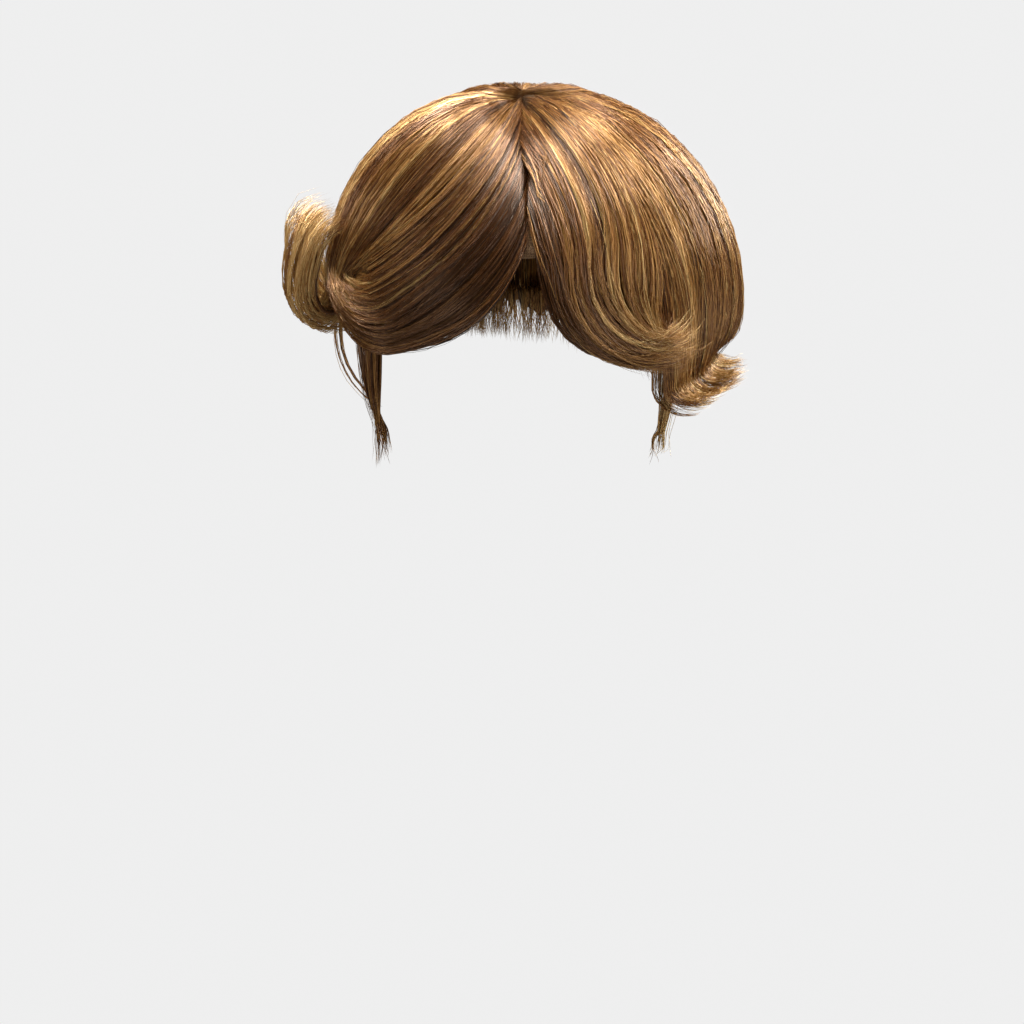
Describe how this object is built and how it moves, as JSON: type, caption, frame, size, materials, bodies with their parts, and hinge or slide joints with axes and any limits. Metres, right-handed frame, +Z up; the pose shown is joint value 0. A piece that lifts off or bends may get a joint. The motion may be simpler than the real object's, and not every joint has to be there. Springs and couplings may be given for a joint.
{
  "type": "hair system",
  "caption": "Hair system of wavy brown hair on a thin lace base: a middle part, a swept fringe, full sides with flipped ends and sideburn wisps.",
  "frame": {"origin": "top of the head, where the underside of the lace base rests on it", "axes": "+Z up, -Y the way the wearer faces, +X to the right as seen from the front"},
  "size_m": [0.2431, 0.2322, 0.1791],
  "materials": {
    "lace": "fine knotted net, matte",
    "hair": "light brown hair, silky"
  },
  "bodies": {
    "root": {"base": "lace", "fringe_left": "hair", "fringe_right": "hair", "side_left": "hair", "side_right": "hair", "back": "hair", "sideburn_left": "hair", "sideburn_right": "hair"}
  },
  "joints": []
}
